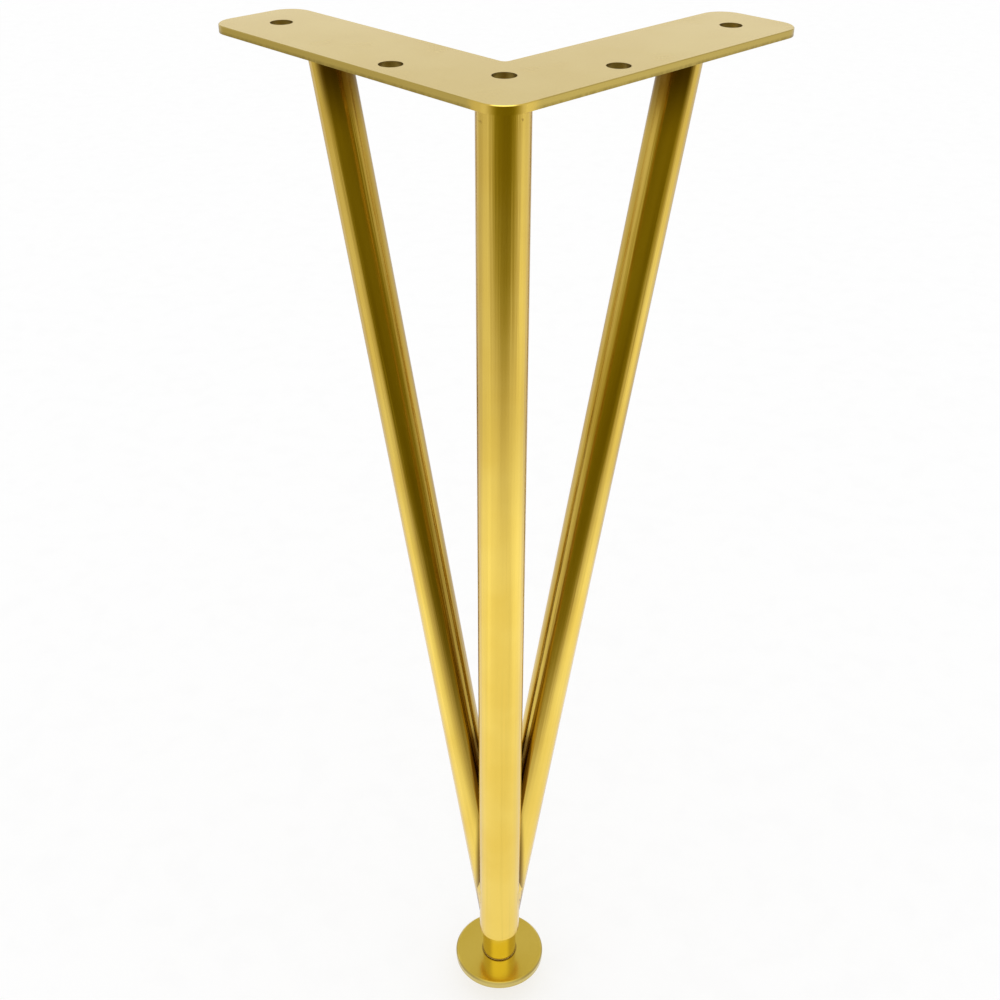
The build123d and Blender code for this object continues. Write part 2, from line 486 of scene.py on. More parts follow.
def drawn_streaks_group(name):
    """Fine streaks along Z, as drawing and polishing leave along a tube."""
    sheet, given, result = shader_group(
        name,
        [("Vector", "NodeSocketVector"), ("Width", "NodeSocketFloat"), ("Length", "NodeSocketFloat")],
        [("Streaks", "NodeSocketFloat")])
    across = sheet.math("DIVIDE", 1.0, given["Width"])
    along = sheet.math("DIVIDE", 1.0, given["Length"])
    stretch = sheet.add("ShaderNodeCombineXYZ", inputs={"X": across, "Y": across, "Z": along})
    stretched = sheet.vector_math("MULTIPLY", given["Vector"], stretch.outputs[0])
    sheet.feed(result["Streaks"], sheet.noise(stretched, 1.0, detail=3.0, roughness=0.55))
    return sheet.tree


def handling_marks_group(name):
    """Soft smudges and a few hair scratches from handling."""
    sheet, given, result = shader_group(
        name,
        [("Vector", "NodeSocketVector"), ("Smudge Size", "NodeSocketFloat"),
         ("Scratch Length", "NodeSocketFloat")],
        [("Smudges", "NodeSocketFloat"), ("Scratches", "NodeSocketFloat")])
    smudges = sheet.noise(given["Vector"], sheet.math("DIVIDE", 1.0, given["Smudge Size"]), detail=4.0)
    sheet.feed(result["Smudges"], sheet.ramp(smudges, 0.5, 0.74))
    scratch_scale = sheet.math("DIVIDE", 1.0, given["Scratch Length"])
    lines = 0.0
    for turn in SCRATCH_TURNS:
        turned = sheet.add("ShaderNodeVectorRotate", rotation_type="EULER_XYZ",
                           inputs={"Vector": given["Vector"], "Rotation": turn}).outputs[0]
        stretched = sheet.vector_math("MULTIPLY", turned, (1.0, SCRATCH_SLIMNESS, SCRATCH_SLIMNESS))
        hair = sheet.noise(stretched, scratch_scale, detail=0.0)
        offset = sheet.math("ABSOLUTE", sheet.math("SUBTRACT", hair, 0.5))
        line = sheet.ramp(offset, 0.0, 0.006, 1.0, 0.0, smooth=False)
        where = sheet.ramp(sheet.noise(turned, scratch_scale, detail=1.0), 0.6, 0.7)
        lines = sheet.math("MAXIMUM", lines, sheet.math("MULTIPLY", line, where))
    sheet.feed(result["Scratches"], lines)
    return sheet.tree


def turned_rings_group(name):
    """Rings round Z, as a lathe tool leaves them."""
    sheet, given, result = shader_group(
        name,
        [("Vector", "NodeSocketVector"), ("Spacing", "NodeSocketFloat")],
        [("Rings", "NodeSocketFloat")])
    path = sheet.math("SUBTRACT", sheet.distance(given["Vector"]), sheet.part(given["Vector"], "Z"))
    steps = sheet.math("DIVIDE", path, given["Spacing"])
    rings = sheet.add("ShaderNodeTexNoise", noise_dimensions="1D",
                      inputs={"W": steps, "Scale": 1.0, "Detail": 3.0, "Roughness": 0.6})
    sheet.feed(result["Rings"], rings.outputs["Fac"])
    return sheet.tree


def shielded_side_group(name):
    """Masks for painted shade on a brace's side that faces the corner tube, and in its corners with tube and
    plate.
    """
    sheet, given, result = shader_group(
        name,
        [("Vector", "NodeSocketVector"), ("Normal", "NodeSocketVector"), ("Tube Radius", "NodeSocketFloat"),
         ("Top", "NodeSocketFloat")],
        [("Inner", "NodeSocketFloat"), ("Crevice", "NodeSocketFloat")])
    gap = sheet.math("SUBTRACT", sheet.distance(given["Vector"]), given["Tube Radius"])
    away = sheet.vector_math("NORMALIZE", sheet.flat(given["Vector"]))
    outward = sheet.add("ShaderNodeVectorMath", operation="DOT_PRODUCT", inputs={0: given["Normal"], 1: away})
    facing = sheet.math("MULTIPLY", outward.outputs["Value"], -1.0)
    near = sheet.ramp(gap, *INNER_GAPS, 1.0, INNER_FAR_SHARE)
    sheet.feed(result["Inner"], sheet.math("MULTIPLY", sheet.ramp(facing, *INNER_FACING), near))
    reach = sheet.ramp(facing, *REACH_FACING, 0.0, CREVICE_REACH)
    narrow = sheet.ramp(sheet.math("SUBTRACT", gap, reach), 0.0, CREVICE_WIDTH, CREVICE_SHARE, 0.0)
    drop = sheet.math("SUBTRACT", given["Top"], sheet.part(given["Vector"], "Z"))
    under = sheet.ramp(drop, *CORNER_DROPS, CREVICE_SHARE, 0.0)
    corner = sheet.math("MULTIPLY", under, sheet.ramp(facing, *CORNER_FACING))
    sheet.feed(result["Crevice"], sheet.math("MAXIMUM", narrow, corner))
    return sheet.tree


def weld_nicks(sheet, vector):
    """A few small marks at the top of the corner tube, on both sides of the ground corner."""
    high = sheet.ramp(sheet.part(vector, "Z"), *(tube_high.z - drop for drop in NICK_DROPS))
    sideways = sheet.math("ABSOLUTE", sheet.part(vector, "X"))
    aside = sheet.ramp(sideways, *(share * tube_radius for share in NICK_SIDES))
    specks = sheet.ramp(sheet.noise(vector, TUBE_NICKS, detail=1.0), 0.58, 0.72, 0.0, 0.7)
    return sheet.math("MULTIPLY", specks, sheet.math("MULTIPLY", high, aside))


class GoldMaterial:
    """A gold-plated metal with its shader, its tone and its handling marks in place."""

    def __init__(self, name, settings, gold, deep_gold, turn=None):
        self.material = bpy.data.materials.new(name)
        self.material.use_nodes = True
        self.sheet = NodeSheet(self.material.node_tree)
        self.shader = self.material.node_tree.nodes["Principled BSDF"]
        self.shader.inputs["Metallic"].default_value = 1.0
        coordinates = self.sheet.add("ShaderNodeTexCoord").outputs["Object"]
        self.place = coordinates
        self.vector = coordinates
        if turn is not None:
            mapping = self.sheet.add("ShaderNodeMapping", inputs={"Vector": coordinates, "Rotation": turn})
            self.vector = mapping.outputs[0]
        tone = self.group("plating_tone", plating_tone_group, {
            "Vector": coordinates, "Gold": opaque(gold), "Deep Gold": opaque(deep_gold),
            "Patch Size": settings.patch_size})
        self.tone = tone["Color"]
        self.sheet.feed(self.shader.inputs["Base Color"], self.tone)
        self.marks = self.group("handling_marks", handling_marks_group, {
            "Vector": coordinates, "Smudge Size": SMUDGE_SIZE, "Scratch Length": SCRATCH_LENGTH})

    def group(self, name, build, inputs):
        """Outputs of a shared group placed here with its own values."""
        tree = group_once(name, build)
        return self.sheet.add("ShaderNodeGroup", node_tree=tree, inputs=inputs).outputs

    def paint(self, mask, color):
        """Lays a colour over the tone by a mask."""
        self.tone = self.sheet.mix_color(mask, self.tone, opaque(color))
        self.sheet.feed(self.shader.inputs["Base Color"], self.tone)

    def streak(self, settings):
        """Faint deeper streaks along a tube, wider than those in its polish."""
        streaks = self.group("drawn_streaks", drawn_streaks_group, {
            "Vector": self.vector, "Width": TONE_STREAK_WIDTH * settings.streak_width,
            "Length": TONE_STREAK_LENGTH * settings.streak_length})
        mask = self.sheet.ramp(streaks["Streaks"], 0.5, 0.68, 0.0, TONE_STREAK_SHARE)
        self.paint(mask, settings.shade_and_streak_gold)

    def shield_back(self, settings):
        """Painted shade as a deeper tone on the corner tube's side that faces the braces."""
        normal = self.sheet.add("ShaderNodeNewGeometry").outputs["Normal"]
        self.paint(self.sheet.ramp(self.sheet.part(normal, "Y"), *BACK_FACING), settings.shade_and_streak_gold)

    def shield(self, settings, share):
        """Painted shade: deeper on a brace's side facing the corner tube, brown in the gap and under the
        plate.
        """
        normal = self.sheet.add("ShaderNodeNewGeometry").outputs["Normal"]
        side = self.group("shielded_side", shielded_side_group, {
            "Vector": self.place, "Normal": normal, "Tube Radius": tube_radius, "Top": tube_high.z})
        self.paint(self.sheet.math("MULTIPLY", side["Inner"], share), settings.shade_and_streak_gold)
        self.paint(side["Crevice"], settings.crevice_shade_gold)

    def polish(self, roughness, grain, grain_share=GRAIN_SHARE, smudge_share=SMUDGE_SHARE):
        """Roughness from the grain, the smudges and the scratches, each with its share."""
        sheet = self.sheet
        centred = sheet.math("SUBTRACT", grain, 0.5)
        grain_part = sheet.math("MULTIPLY_ADD", centred, 2.0 * grain_share, roughness)
        smudged = sheet.math("MULTIPLY_ADD", self.marks["Smudges"], smudge_share, grain_part)
        scratched = sheet.math("MULTIPLY_ADD", self.marks["Scratches"], SCRATCH_SHARE, smudged)
        sheet.feed(self.shader.inputs["Roughness"], scratched)

    def relief(self, height, depth, scratch_depth=SCRATCH_DEPTH):
        """Bump from a height and from the scratches, both in metres."""
        sheet = self.sheet
        scratched = sheet.math("MULTIPLY", self.marks["Scratches"], -scratch_depth)
        metres = sheet.math("MULTIPLY_ADD", height, depth, scratched)
        bump = sheet.add("ShaderNodeBump", inputs={"Distance": 1.0, "Height": metres})
        sheet.feed(self.shader.inputs["Normal"], bump.outputs["Normal"])


def tube_turn(node_name):
    """Rotation that lays a tube's middle line along Z, for the streaks in its finish."""
    vertices = [vertex.co for vertex in frame["nodes"][node_name].data.vertices]
    middle = (min(co.z for co in vertices) + max(co.z for co in vertices)) / 2
    ends = [[co for co in vertices if (co.z > middle) == upper] for upper in (False, True)]
    low, high = (sum(end, Vector()) / len(end) for end in ends)
    return (high - low).rotation_difference(Vector((0, 0, 1))).to_euler()


def screw_holes():
    """Middles of the plate's screw holes, and their radius, from the record's mounts."""
    middles = []
    radius = 0.0
    for mount in frame["record"]["mounts"]:
        sizes = mount["dims"]
        if "hole_r_mm" in sizes:
            offset = Vector((sizes["spacing_x_mm"] / 2000, 0, 0))
            middles += [Vector(mount["pos_m"]) - offset, Vector(mount["pos_m"]) + offset]
        elif "r_mm" in sizes:
            radius = sizes["r_mm"] / 1000
            middles.append(Vector(mount["pos_m"]))
    if not middles or not radius:
        raise RuntimeError("the record names no screw holes")
    return middles, radius


def bore_mask(sheet, vector):
    """One on the walls of the screw holes, zero elsewhere."""
    middles, radius = screw_holes()
    nearest = 1.0
    for middle in middles:
        distance = sheet.distance(sheet.vector_math("SUBTRACT", vector, middle))
        nearest = sheet.math("MINIMUM", nearest, distance)
    return sheet.ramp(nearest, radius + MASK_EDGE, radius + 3 * MASK_EDGE, 1.0, 0.0)


def cut_edge_tone(sheet, vector, settings):
    """Gold of the plate's cut edge, duller and streaky along its lower part, but not over the corner tube."""
    apart = sheet.ramp(sheet.distance(vector), *(share * tube_radius for share in EDGE_PLAIN))
    low = sheet.ramp(sheet.part(vector, "Z"), *(plate_low.z + rise for rise in SHEARED_HEIGHTS), 1.0, 0.0)
    upright = sheet.vector_math("MULTIPLY", vector, (1.0, 1.0, EDGE_STREAK_STRETCH))
    streaks = sheet.ramp(sheet.noise(upright, EDGE_STREAKS, detail=3.0, roughness=0.6), 0.3, 0.7, 0.45, 1.0)
    sheared = sheet.math("MULTIPLY", sheet.math("MULTIPLY", low, streaks), apart)
    ground = sheet.mix_color(apart, opaque(settings.gold), opaque(settings.edge_gold))
    return sheet.mix_color(sheared, ground, opaque(settings.sheared_gold))


class LEG_OT_finish_plate(bpy.types.Operator):
    """Finish the mounting plate in satin gold"""

    bl_idname = "leg.finish_plate"
    bl_label = "Finish Plate"

    def execute(self, context):
        settings = context.scene.leg_gold
        finish = GoldMaterial("satin_gold_plate_finish", settings, settings.plate_gold,
                              settings.plate_deep_gold)
        sheet = finish.sheet
        grain = sheet.noise(finish.vector, 1.0 / settings.satin_grain, detail=2.0, roughness=0.6)
        normal = sheet.add("ShaderNodeNewGeometry").outputs["Normal"]
        face = sheet.ramp(sheet.math("ABSOLUTE", sheet.part(normal, "Z")), *FLAT_FACING)
        bore = bore_mask(sheet, finish.vector)
        edge = cut_edge_tone(sheet, finish.vector, settings)
        finish.tone = sheet.mix_color(face, edge, finish.tone)
        # Painted shade on the walls of the screw holes
        finish.paint(bore, settings.bore_shade_gold)
        outside = sheet.blend(face, settings.tube_roughness, settings.plate_roughness)
        finish.polish(sheet.blend(bore, outside, settings.bore_roughness), grain)
        finish.relief(sheet.math("MULTIPLY", grain, face), SATIN_DEPTH, PLATE_SCRATCH_DEPTH)
        set_material("mounting_plate", finish.material)
        return {"FINISHED"}


class LEG_OT_finish_tubes(bpy.types.Operator):
    """Finish the corner tube and both braces in polished gold, with streaks along each tube"""

    bl_idname = "leg.finish_tubes"
    bl_label = "Finish Tubes"

    def execute(self, context):
        settings = context.scene.leg_gold
        for node_name in TUBES:
            finish = GoldMaterial("polished_gold_" + node_name, settings, settings.gold, settings.deep_gold,
                                  tube_turn(node_name))
            finish.streak(settings)
            if node_name == "corner_tube":
                finish.shield_back(settings)
                finish.paint(weld_nicks(finish.sheet, finish.place), settings.weld_pit)
            else:
                finish.shield(settings, INNER_SHARE[node_name])
            streaks = finish.group("drawn_streaks", drawn_streaks_group, {
                "Vector": finish.vector, "Width": settings.streak_width, "Length": settings.streak_length})
            finish.polish(settings.tube_roughness, streaks["Streaks"])
            finish.relief(streaks["Streaks"], settings.streak_depth)
            set_material(node_name, finish.material)
        return {"FINISHED"}


class LEG_OT_finish_welds(bpy.types.Operator):
    """Finish the welds as ground smooth and plated, with a little waviness and a few pits"""

    bl_idname = "leg.finish_welds"
    bl_label = "Finish Welds"

    def execute(self, context):
        settings = context.scene.leg_gold
        finish = GoldMaterial("ground_gold_weld_finish", settings, settings.gold, settings.deep_gold)
        waves = finish.sheet.noise(finish.vector, WELD_WAVES, detail=3.0, roughness=0.6)
        pits = finish.sheet.noise(finish.vector, WELD_PITS, detail=1.0)
        finish.paint(finish.sheet.ramp(pits, 0.66, 0.74), settings.weld_pit)
        finish.polish(settings.weld_roughness, waves, WELD_GRAIN_SHARE, WELD_SMUDGE_SHARE)
        finish.relief(waves, WELD_DEPTH, WELD_SCRATCH_DEPTH)
        for node_name in WELDS:
            set_material(node_name, finish.material)
        return {"FINISHED"}


def foot_masks(sheet, vector):
    """Masks for the foot's hub, the disc's rim, both sides of the groove under the hub and the groove."""
    height = sheet.part(vector, "Z")
    radius = sheet.distance(vector)
    hub = sheet.ramp(radius, HUB_RADIUS + MASK_EDGE, HUB_RADIUS + 4 * MASK_EDGE, 1.0, 0.0)
    rim = sheet.ramp(radius, *(foot_radius - width for width in RIM_WIDTHS))
    above = sheet.ramp(height, *(GROOVE_TOP + width for width in BROWN_WIDTHS), 1.0, 0.0)
    beside = sheet.ramp(radius, *(HUB_RADIUS + width for width in BROWN_WIDTHS), 1.0, 0.0)
    low = sheet.ramp(height, GROOVE_TOP, GROOVE_TOP + 2 * MASK_EDGE, 1.0, 0.0)
    within = sheet.ramp(radius, HUB_RADIUS - MASK_EDGE, HUB_RADIUS + MASK_EDGE, 1.0, 0.0)
    return hub, rim, sheet.math("MULTIPLY", above, beside), sheet.math("MULTIPLY", low, within)


class LEG_OT_finish_foot(bpy.types.Operator):
    """Finish the foot in gold with fine turning marks round its axis"""

    bl_idname = "leg.finish_foot"
    bl_label = "Finish Foot"

    def execute(self, context):
        settings = context.scene.leg_gold
        finish = GoldMaterial("turned_gold_foot_finish", settings, settings.foot_gold,
                              settings.foot_deep_gold)
        rings = finish.group("turned_rings", turned_rings_group, {
            "Vector": finish.vector, "Spacing": settings.ring_spacing})
        finish.polish(settings.foot_roughness, rings["Rings"])
        finish.relief(rings["Rings"], RING_DEPTH)
        hub, rim, corner, groove = foot_masks(finish.sheet, finish.place)
        finish.paint(hub, settings.hub_gold)
        # Painted shade on the foot's rim
        finish.paint(rim, settings.rim_shade_gold)
        # Brown painted shade on both sides of the groove under the hub
        finish.paint(corner, settings.groove_side_shade_gold)
        finish.paint(groove, settings.groove_gold)

        # Lacquer that has run into the groove hides the metal there
        metal = finish.sheet.ramp(groove, 0.0, 1.0, 1.0, LACQUER_METAL)
        finish.sheet.feed(finish.shader.inputs["Metallic"], metal)
        set_material("levelling_foot", finish.material)
        return {"FINISHED"}


def steel_material(settings):
    """Bright zinc on steel, duller towards the thread's roots."""
    material = bpy.data.materials.new("bright_zinc_steel")
    material.use_nodes = True
    sheet = NodeSheet(material.node_tree)
    shader = material.node_tree.nodes["Principled BSDF"]
    shader.inputs["Metallic"].default_value = 1.0
    coordinates = sheet.add("ShaderNodeTexCoord").outputs["Object"]
    root = sheet.ramp(sheet.distance(coordinates), stud_radius - settings.depth, stud_radius, 1.0, 0.0)
    speckle = sheet.noise(coordinates, ZINC_SPECKS, detail=3.0, roughness=0.6)
    dull = sheet.math("MULTIPLY", root, sheet.ramp(speckle, 0.2, 0.7))
    color = sheet.mix_color(dull, opaque(settings.steel), opaque(settings.steel_dull))
    sheet.feed(shader.inputs["Base Color"], color)
    centred = sheet.math("SUBTRACT", speckle, 0.5)
    rough = sheet.math("MULTIPLY_ADD", centred, 2.0 * ZINC_GRAIN_SHARE, settings.steel_roughness)
    sheet.feed(shader.inputs["Roughness"], rough)
    bump = sheet.add("ShaderNodeBump", inputs={
        "Distance": 1.0, "Height": sheet.math("MULTIPLY", speckle, ZINC_DEPTH)})
    sheet.feed(shader.inputs["Normal"], bump.outputs["Normal"])
    return material


def thread_tree():
    """Geometry Nodes tree of a threaded stud: a sheet of facets wound round Z along the thread's rise."""
    tree = bpy.data.node_groups.new("threaded_stud", "GeometryNodeTree")
    lengths = ("Radius", "Depth", "Pitch", "Base", "Top", "Thread Start", "Run-out")
    counts = ("Sides", "Rows", "Rows Per Turn")
    for names, kind in ((lengths, "NodeSocketFloat"), (counts, "NodeSocketInt"),
                        (("Material",), "NodeSocketMaterial")):
        for name in names:
            tree.interface.new_socket(name, in_out="INPUT", socket_type=kind)
    tree.interface.new_socket("Geometry", in_out="OUTPUT", socket_type="NodeSocketGeometry")
    sheet = NodeSheet(tree)
    given = sheet.add("NodeGroupInput").outputs
    result = sheet.add("NodeGroupOutput").inputs

    grid = sheet.add("GeometryNodeMeshGrid", inputs={
        "Size X": 1.0, "Size Y": 1.0, "Vertices X": sheet.math("ADD", given["Sides"], 1.0),
        "Vertices Y": sheet.math("ADD", given["Rows"], 1.0)})
    place = sheet.add("GeometryNodeInputPosition").outputs[0]
    round_share = sheet.math("ADD", sheet.part(place, "X"), 0.5)
    row_share = sheet.math("ADD", sheet.part(place, "Y"), 0.5)
    row = sheet.math("ROUND", sheet.math("MULTIPLY", row_share, given["Rows"]))

    # Each row climbs one pitch in a turn, so crests and roots run along the rows
    turn_of_row = sheet.math("DIVIDE", row, given["Rows Per Turn"])
    rise = sheet.math("MULTIPLY", sheet.math("SUBTRACT", sheet.math("ADD", turn_of_row, round_share), 1.0),
                      given["Pitch"])
    free_height = sheet.math("ADD", given["Base"], rise)
    height = sheet.math("MINIMUM", sheet.math("MAXIMUM", free_height, given["Base"]), given["Top"])

    # Cut from crest to root and back within a turn, with short flats at both
    phase = sheet.math("FRACT", sheet.math("ADD", turn_of_row, TURN_NUDGE))
    slope = sheet.math("ABSOLUTE", sheet.math("SUBTRACT", sheet.math("MULTIPLY", phase, 2.0), 1.0))
    cut = sheet.ramp(slope, *THREAD_SLOPE, smooth=False)
    thread_end = sheet.math("ADD", given["Thread Start"], given["Run-out"])
    begun = sheet.ramp(height, given["Thread Start"], thread_end)
    cut_depth = sheet.math("MULTIPLY", sheet.math("MULTIPLY", cut, begun), given["Depth"])
    threaded = sheet.math("SUBTRACT", given["Radius"], cut_depth)
    root = sheet.math("SUBTRACT", given["Radius"], given["Depth"])
    bevelled = sheet.math("ADD", root, sheet.math("SUBTRACT", given["Top"], height))
    radius = sheet.math("MINIMUM", threaded, bevelled)

    # First and last rows close the ends
    inner = sheet.math("MULTIPLY", sheet.math("GREATER_THAN", row, 0.5),
                       sheet.math("LESS_THAN", row, sheet.math("SUBTRACT", given["Rows"], 0.5)))
    radius = sheet.math("MULTIPLY", radius, inner)
    angle = sheet.math("MULTIPLY", round_share, math.tau)
    wound = sheet.add("ShaderNodeCombineXYZ", inputs={
        "X": sheet.math("MULTIPLY", radius, sheet.math("COSINE", angle)),
        "Y": sheet.math("MULTIPLY", radius, sheet.math("SINE", angle)), "Z": height})
    shaped = sheet.add("GeometryNodeSetPosition", inputs={
        "Geometry": grid.outputs["Mesh"], "Position": wound.outputs[0]})
    closed = sheet.add("GeometryNodeMergeByDistance", inputs={
        "Geometry": shaped.outputs[0], "Distance": MERGE_DISTANCE})
    real = sheet.add("GeometryNodeRealizeInstances", inputs={"Geometry": closed.outputs[0]})
    finished = sheet.add("GeometryNodeSetMaterial", inputs={
        "Geometry": real.outputs[0], "Material": given["Material"]})
    sheet.feed(result["Geometry"], finished.outputs[0])
    return tree


def plain_mesh_from_nodes(name, tree, values):
    """Object with the plain mesh that a Geometry Nodes tree makes from these named values."""
    maker = bpy.data.objects.new(name + "_maker", bpy.data.meshes.new(name + "_start"))
    bpy.context.scene.collection.objects.link(maker)
    modifier = maker.modifiers.new("Nodes", "NODES")
    modifier.node_group = tree
    for item in tree.interface.items_tree:
        if item.in_out == "INPUT":
            modifier[item.identifier] = values[item.name]
    depsgraph = bpy.context.evaluated_depsgraph_get()
    mesh = bpy.data.meshes.new_from_object(maker.evaluated_get(depsgraph))
    bpy.data.objects.remove(maker)
    if not mesh.polygons:
        raise RuntimeError(name + " came out empty")
    piece = bpy.data.objects.new(name, mesh)
    bpy.context.scene.collection.objects.link(piece)
    return piece


class LEG_OT_thread_stud(bpy.types.Operator):
    """Cut the screw thread of the foot's stud and finish stud and insert in bright zinc"""

    bl_idname = "leg.thread_stud"
    bl_label = "Thread Stud"

    def execute(self, context):
        settings = context.scene.leg_thread
        material = steel_material(settings)
        turns = (stud_high.z - stud_low.z) / settings.pitch + 2.0
        stud = plain_mesh_from_nodes("threaded_foot_stud", thread_tree(), {
            "Radius": stud_radius, "Depth": settings.depth, "Pitch": settings.pitch,
            "Base": stud_low.z, "Top": stud_high.z, "Thread Start": stud_low.z + settings.plain_length,
            "Run-out": settings.run_out, "Sides": settings.sides,
            "Rows": math.ceil(turns) * settings.rows_per_turn, "Rows Per Turn": settings.rows_per_turn,
            "Material": material})
        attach(stud, "foot")
        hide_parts("foot_stud")
        set_material("threaded_insert", material)
        return {"FINISHED"}


def foot_travel():
    """How far the foot screws out, from the record's joint."""
    for joint in frame["record"]["behaviour"]["joints"]:
        if joint["child"] == "foot":
            return joint["range_m"][1]
    raise RuntimeError("the record names no joint for the foot")


def floor_material(settings):
    """Pale paper with faint flecks."""
    material = bpy.data.materials.new("pale_paper")
    material.use_nodes = True
    sheet = NodeSheet(material.node_tree)
    shader = material.node_tree.nodes["Principled BSDF"]
    shader.inputs["Roughness"].default_value = 0.9
    shader.inputs["Specular IOR Level"].default_value = 0.0
    coordinates = sheet.add("ShaderNodeTexCoord").outputs["Object"]
    flecks = sheet.ramp(sheet.noise(coordinates, PAPER_FLECKS, detail=4.0), 0.45, 0.7)
    color = sheet.mix_color(flecks, opaque(settings.floor_tone), opaque(settings.floor_fleck))
    sheet.feed(shader.inputs["Base Color"], color)

    # Part of the floor is plain white where it is seen, which leaves a faint shadow
    rays = sheet.add("ShaderNodeLightPath").outputs
    mirrored = sheet.math("MAXIMUM", rays["Is Glossy Ray"], rays["Is Transmission Ray"])
    seen = sheet.math("MAXIMUM", rays["Is Camera Ray"], mirrored)
    white = sheet.add("ShaderNodeEmission", inputs={"Color": color, "Strength": 1.0})
    mixed = sheet.add("ShaderNodeMixShader", inputs={
        0: sheet.math("MULTIPLY", seen, settings.floor_glow), 1: shader.outputs[0], 2: white.outputs[0]})
    sheet.feed(material.node_tree.nodes["Material Output"].inputs["Surface"], mixed.outputs[0])
    return material


def level_square(name, size, height, material):
    """Level square round the leg's axis at this height."""
    half = size / 2
    mesh = bpy.data.meshes.new(name)
    corners = [(-half, -half), (half, -half), (half, half), (-half, half)]
    mesh.from_pydata([(x, y, height) for x, y in corners], [], [(0, 1, 2, 3)])
    mesh.materials.append(material)
    square = bpy.data.objects.new(name, mesh)
    bpy.context.scene.collection.objects.link(square)
    return square


def add_floor(settings):
    """Pale floor, low enough for the foot to be screwed right out."""
    floor = level_square("floor", settings.floor_size, foot_low.z - foot_travel() - FLOOR_GAP,
                         floor_material(settings))
    floor.visible_glossy = False


def light_azimuth(sheet, vector):
    """Degrees round the leg from the middle of the dim front, the same on both sides."""
    turned = sheet.add("ShaderNodeVectorRotate", rotation_type="Z_AXIS",
                       inputs={"Vector": vector, "Angle": math.radians(FRONT_TURN)}).outputs[0]
    sideways = sheet.math("ABSOLUTE", sheet.part(turned, "X"))
    forward = sheet.math("MULTIPLY", sheet.part(turned, "Y"), -1.0)
    return sheet.math("DEGREES", sheet.math("ARCTAN2", sideways, forward))


def reflected_light_group(name):
    """Light that reflections see: three levels, for front, side and back, blended round the leg."""
    sheet, given, result = shader_group(
        name,
        [("Vector", "NodeSocketVector"), ("Front", "NodeSocketFloat"), ("Side", "NodeSocketFloat"),
         ("Back", "NodeSocketFloat"), ("Front End", "NodeSocketFloat"), ("Side Start", "NodeSocketFloat")],
        [("Color", "NodeSocketColor")])
    azimuth = light_azimuth(sheet, given["Vector"])
    aside = sheet.ramp(azimuth, given["Front End"], given["Side Start"])
    ahead = sheet.blend(aside, given["Front"], given["Side"])
    level = sheet.blend(sheet.ramp(azimuth, *SIDE_TO_BACK), ahead, given["Back"])
    blue = sheet.math("MULTIPLY", sheet.math("MULTIPLY", level, BLUE_STRENGTH),
                      sheet.ramp(level, *BLUE_LEVELS))
    warm = sheet.add("ShaderNodeCombineColor", inputs={
        "Red": sheet.math("POWER", level, RED_POWER), "Green": level, "Blue": blue})
    sheet.feed(result["Color"], warm.outputs[0])
    return sheet.tree


def reflected_light(sheet, vector, levels, front_to_side):
    """Colour of the light that reflections see at a place or in a direction, from its three levels."""
    tree = group_once("reflected_light", reflected_light_group)
    front, side, back = levels
    front_end, side_start = front_to_side
    return sheet.add("ShaderNodeGroup", node_tree=tree, inputs={
        "Vector": vector, "Front": front, "Side": side, "Back": back, "Front End": front_end,
        "Side Start": side_start}).outputs["Color"]


def light_plane_material():
    """Light of the plane that reflections see: bright round the leg, dim far in front of it."""
    material = bpy.data.materials.new("reflected_light_plane")
    material.use_nodes = True
    material.node_tree.nodes.clear()
    sheet = NodeSheet(material.node_tree)
    vector = sheet.add("ShaderNodeTexCoord").outputs["Object"]
    distance = sheet.distance(vector)
    azimuth = light_azimuth(sheet, vector)
    narrowing = sheet.ramp(azimuth, *FRONT_MIDDLE, 1.0, FRONT_NARROWING)
    narrowed = sheet.math("MULTIPLY", distance, narrowing)
    right = sheet.ramp(sheet.part(vector, "X"), *LEFT_TO_RIGHT)
    far_share = sheet.blend(right, sheet.level(azimuth, LEFT_SHARE), sheet.level(azimuth, RIGHT_SHARE))
    share = sheet.blend(sheet.ramp(distance, *FAR_OFF), 1.0, far_share)
    levels = (sheet.level(narrowed, FRONT_PLANE), sheet.level(distance, SIDE_PLANE),
              sheet.level(distance, BACK_PLANE))
    shared = [sheet.math("MULTIPLY", level, share) for level in levels]
    color = reflected_light(sheet, vector, shared, PLANE_FRONT)
    glow = sheet.add("ShaderNodeEmission", inputs={"Color": color, "Strength": 1.0})
    sheet.add("ShaderNodeOutputMaterial", inputs={"Surface": glow.outputs[0]})
    return material


def add_light_plane(settings):
    """Plane under the floor that only reflections see."""
    plane = level_square("light_plane", settings.light_plane_size, foot_low.z - settings.light_plane_drop,
                         light_plane_material())
    plane.visible_camera = False
    plane.visible_diffuse = False
    plane.visible_shadow = False
    plane.visible_transmission = False


def add_dome(scene):
    """White dome of light, which reflections see with darker and brighter parts."""
    world = bpy.data.worlds.new("studio_dome")
    world.use_nodes = True
    scene.world = world
    sheet = NodeSheet(world.node_tree)
    background = world.node_tree.nodes["Background"]
    direction = sheet.add("ShaderNodeTexCoord").outputs["Generated"]
    elevation = sheet.math("DEGREES", sheet.math("ARCSINE", sheet.part(direction, "Z")))
    levels = [sheet.level(elevation, stops) for stops in (FRONT_DOME, SIDE_DOME, BACK_DOME)]
    reflected = reflected_light(sheet, direction, levels, DOME_FRONT)
    glossy = sheet.add("ShaderNodeLightPath").outputs["Is Glossy Ray"]
    sheet.feed(background.inputs["Color"], sheet.mix_color(glossy, opaque((1.0, 1.0, 1.0)), reflected))
    background.inputs["Strength"].default_value = 1.0
    world.cycles.sampling_method = "NONE"


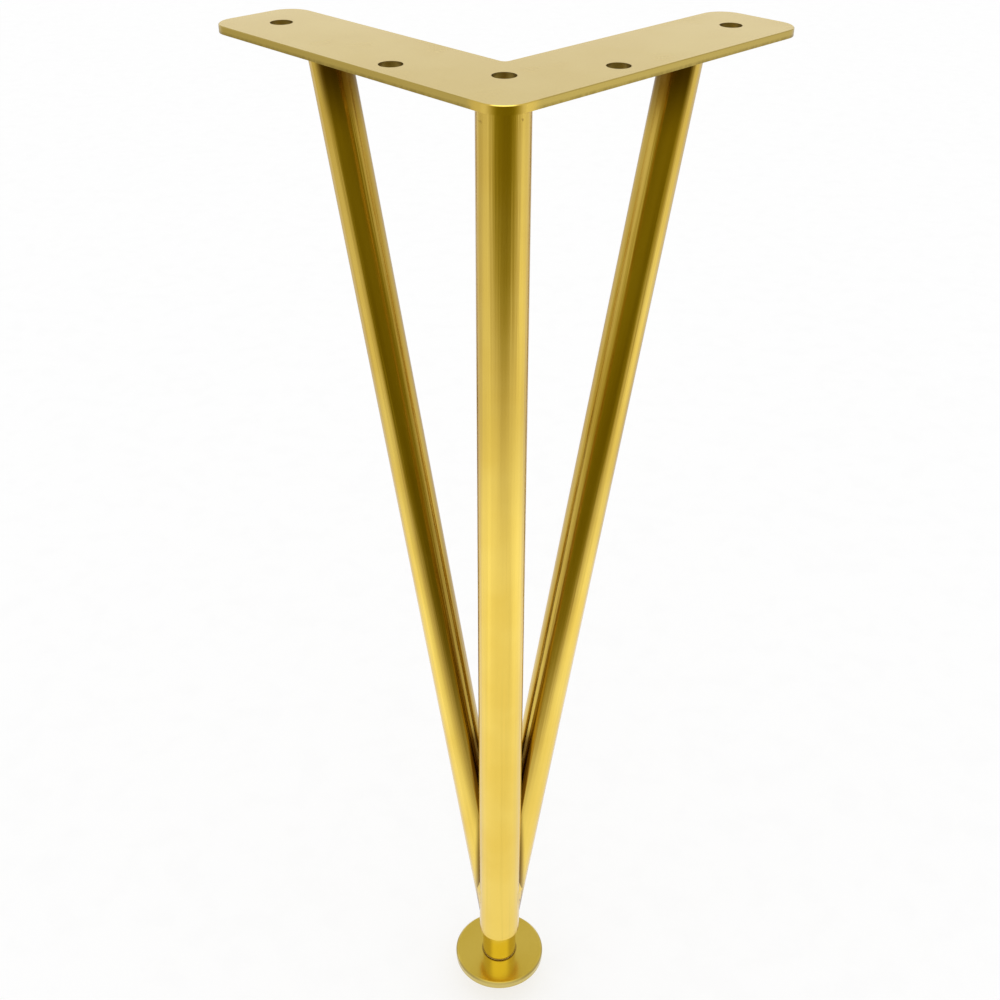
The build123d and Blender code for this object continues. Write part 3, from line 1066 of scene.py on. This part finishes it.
def add_camera(scene, settings):
    """Camera at the photograph's viewing angle."""
    data = bpy.data.cameras.new("camera")
    data.sensor_width = 36.0
    data.lens = settings.lens
    data.shift_y = settings.camera_shift
    data.clip_start = 0.01
    data.clip_end = 50.0
    camera = bpy.data.objects.new("camera", data)
    scene.collection.objects.link(camera)
    aim = Euler((math.pi / 2 - settings.camera_pitch, 0.0, -settings.camera_yaw)).to_matrix()
    aim = aim @ Matrix.Rotation(settings.camera_roll, 3, "Z")
    camera.matrix_world = Matrix.Translation(settings.camera_place) @ aim.to_4x4()
    scene.camera = camera


class LEG_OT_build_stage(bpy.types.Operator):
    """Set the camera, the pale floor and the light"""

    bl_idname = "leg.build_stage"
    bl_label = "Build Stage"

    def execute(self, context):
        settings = context.scene.leg_stage
        add_camera(context.scene, settings)
        add_floor(settings)
        add_light_plane(settings)
        add_dome(context.scene)
        context.scene.view_settings.view_transform = "Standard"
        return {"FINISHED"}


STEPS = (LEG_OT_finish_plate, LEG_OT_finish_tubes, LEG_OT_finish_welds, LEG_OT_finish_foot,
         LEG_OT_thread_stud, LEG_OT_build_stage)


class LEG_PT_workshop(bpy.types.Panel):
    """Every step of the leg's finish, in order"""

    bl_label = "Table Leg"
    bl_space_type = "VIEW_3D"
    bl_region_type = "UI"
    bl_category = "Table Leg"

    def draw(self, context):
        for step in STEPS:
            self.layout.operator(step.bl_idname)
        for group in (context.scene.leg_gold, context.scene.leg_thread, context.scene.leg_stage):
            column = self.layout.column()
            for name in group.__annotations__:
                column.prop(group, name)


CLASSES = (LegGold, LegThread, LegStage, *STEPS, LEG_PT_workshop)


def register():
    """Registers the classes and hangs their settings on the scene."""
    for entry in CLASSES:
        bpy.utils.register_class(entry)
    bpy.types.Scene.leg_gold = PointerProperty(type=LegGold)
    bpy.types.Scene.leg_thread = PointerProperty(type=LegThread)
    bpy.types.Scene.leg_stage = PointerProperty(type=LegStage)


def unregister():
    """Takes the settings off the scene and unregisters the classes."""
    del bpy.types.Scene.leg_gold, bpy.types.Scene.leg_thread, bpy.types.Scene.leg_stage
    for entry in reversed(CLASSES):
        bpy.utils.unregister_class(entry)


def main():
    """Runs every step in order."""
    register()
    bpy.ops.leg.finish_plate()
    bpy.ops.leg.finish_tubes()
    bpy.ops.leg.finish_welds()
    bpy.ops.leg.finish_foot()
    bpy.ops.leg.thread_stud()
    bpy.ops.leg.build_stage()


if __name__ == "__main__":
    main()
